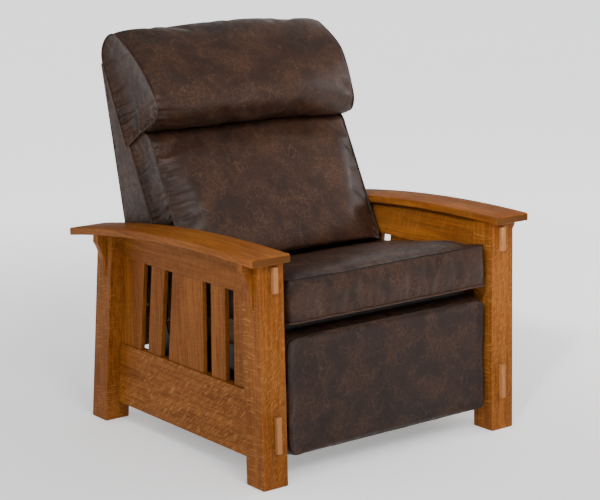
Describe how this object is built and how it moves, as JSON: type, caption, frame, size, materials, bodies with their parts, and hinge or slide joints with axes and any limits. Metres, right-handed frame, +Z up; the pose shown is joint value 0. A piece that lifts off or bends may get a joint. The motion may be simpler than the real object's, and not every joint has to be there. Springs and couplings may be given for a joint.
{
  "type": "reclining mission armchair",
  "caption": "Mission style oak armchair with slatted sides, bow arms, leather cushions, a reclining back and a scissor footrest that opens as the seat swings forward.",
  "frame": {"origin": "on the floor, midway across the chair and midway along the arms", "axes": "+X to the viewer's right when facing the chair's front, +Y to the rear, +Z up; the chair faces -Y"},
  "size_m": [0.866, 0.852, 1.05],
  "materials": {
    "oak": "mid-brown fumed quarter-sawn oak, satin",
    "inner_wood": "plain sawn hardwood, unfinished",
    "plywood": "plain plywood",
    "black_steel": "black painted steel, semi-gloss",
    "zinc_steel": "zinc-plated steel",
    "spring_steel": "dark spring steel",
    "leather": "distressed dark brown leather, low sheen",
    "dark_leather": "dark brown leather, low sheen",
    "deck_cloth": "black deck cloth"
  },
  "bodies": {
    "frame": {"arm_dowels": "inner_wood", "arm_left": "oak", "arm_right": "oak", "base_bolts": "zinc_steel", "base_cross_tubes": "black_steel", "base_rail_left": "black_steel", "base_rail_right": "black_steel", "corbels": "oak", "end_stiles_left": "oak", "end_stiles_right": "oak", "front_post_left": "oak", "front_post_right": "oak", "lower_rail_left": "oak", "lower_rail_right": "oak", "narrow_slats_left": "oak", "narrow_slats_right": "oak", "rear_post_left": "oak", "rear_post_right": "oak", "rear_stretcher": "oak", "swing_link_pins": "zinc_steel", "upper_rail_left": "oak", "upper_rail_right": "oak", "wide_slat_left": "oak", "wide_slat_right": "oak"},
    "front_links": {"front_sway_tube": "black_steel", "front_swing_links": "black_steel"},
    "rear_links": {"rear_sway_tube": "black_steel", "rear_swing_links": "black_steel"},
    "seat": {"seat_cushion": "leather", "seat_deck": "deck_cloth", "seat_frame_screws": "zinc_steel", "seat_front_rail": "dark_leather", "seat_plate_left": "black_steel", "seat_plate_right": "black_steel", "seat_rear_rail": "inner_wood", "seat_rivets": "zinc_steel", "seat_side_rails": "inner_wood", "seat_spring_clips": "zinc_steel", "seat_springs": "spring_steel"},
    "back": {"back_bracket_screws": "zinc_steel", "back_brackets": "black_steel", "back_cover": "leather", "back_rails": "inner_wood", "back_spring_clips": "zinc_steel", "back_springs": "spring_steel", "back_stiles": "inner_wood", "headrest_pillow": "leather", "lumbar_cushion": "leather"},
    "scissor_roots": {"scissor_root_links": "black_steel", "scissor_root_rivets": "zinc_steel", "scissor_torque_tube": "black_steel"},
    "long_link_left": {"scissor_long_link_left": "black_steel"},
    "long_link_right": {"scissor_long_link_right": "black_steel"},
    "short_link_left": {"scissor_short_link_left": "black_steel"},
    "short_link_right": {"scissor_short_link_right": "black_steel"},
    "footrest": {"footrest_board": "plywood", "footrest_brackets": "black_steel", "footrest_links": "black_steel", "footrest_pad": "leather", "footrest_rivets": "zinc_steel"}
  },
  "joints": [
    {"name": "seat_swing", "type": "hinge", "parent": "frame", "child": "front_links", "pos_m": [0, -0.208, 0.142], "axis": [1, 0, 0], "range_deg": [0, 40]},
    {"name": "seat_level", "type": "hinge", "parent": "front_links", "child": "seat", "pos_m": [0, -0.15064, 0.22392], "axis": [1, 0, 0], "range_deg": [-40, 0]},
    {"name": "rear_swing", "type": "hinge", "parent": "frame", "child": "rear_links", "pos_m": [0, 0.122, 0.142], "axis": [1, 0, 0], "range_deg": [0, 40]},
    {"name": "scissor_root", "type": "hinge", "parent": "seat", "child": "scissor_roots", "pos_m": [0, -0.262, 0.31], "axis": [-1, 0, 0], "range_deg": [0, 74]},
    {"name": "scissor_long_left", "type": "hinge", "parent": "scissor_roots", "child": "long_link_left", "pos_m": [-0.312, -0.28394, 0.19711], "axis": [1, 0, 0], "range_deg": [0, 148]},
    {"name": "scissor_long_right", "type": "hinge", "parent": "scissor_roots", "child": "long_link_right", "pos_m": [0.312, -0.28394, 0.19711], "axis": [1, 0, 0], "range_deg": [0, 148]},
    {"name": "scissor_short_left", "type": "hinge", "parent": "scissor_roots", "child": "short_link_left", "pos_m": [-0.312, -0.30589, 0.08423], "axis": [1, 0, 0], "range_deg": [0, 148]},
    {"name": "scissor_short_right", "type": "hinge", "parent": "scissor_roots", "child": "short_link_right", "pos_m": [0.312, -0.30589, 0.08423], "axis": [1, 0, 0], "range_deg": [0, 148]},
    {"name": "footrest_pivot", "type": "hinge", "parent": "long_link_left", "child": "footrest", "pos_m": [-0.312, -0.28595, 0.3121], "axis": [-1, 0, 0], "range_deg": [0, 148]},
    {"name": "back_recline", "type": "hinge", "parent": "seat", "child": "back", "pos_m": [0, 0.161, 0.318], "axis": [-1, 0, 0], "range_deg": [0, 30]}
  ],
  "couplings": [
    {"joint": "seat_level", "follows": "seat_swing", "ratio": -1},
    {"joint": "rear_swing", "follows": "seat_swing", "ratio": 1},
    {"joint": "scissor_root", "follows": "seat_swing", "ratio": 1.85},
    {"joint": "scissor_long_left", "follows": "seat_swing", "ratio": 3.7},
    {"joint": "scissor_long_right", "follows": "seat_swing", "ratio": 3.7},
    {"joint": "scissor_short_left", "follows": "seat_swing", "ratio": 3.7},
    {"joint": "scissor_short_right", "follows": "seat_swing", "ratio": 3.7},
    {"joint": "footrest_pivot", "follows": "seat_swing", "ratio": 3.7}
  ]
}
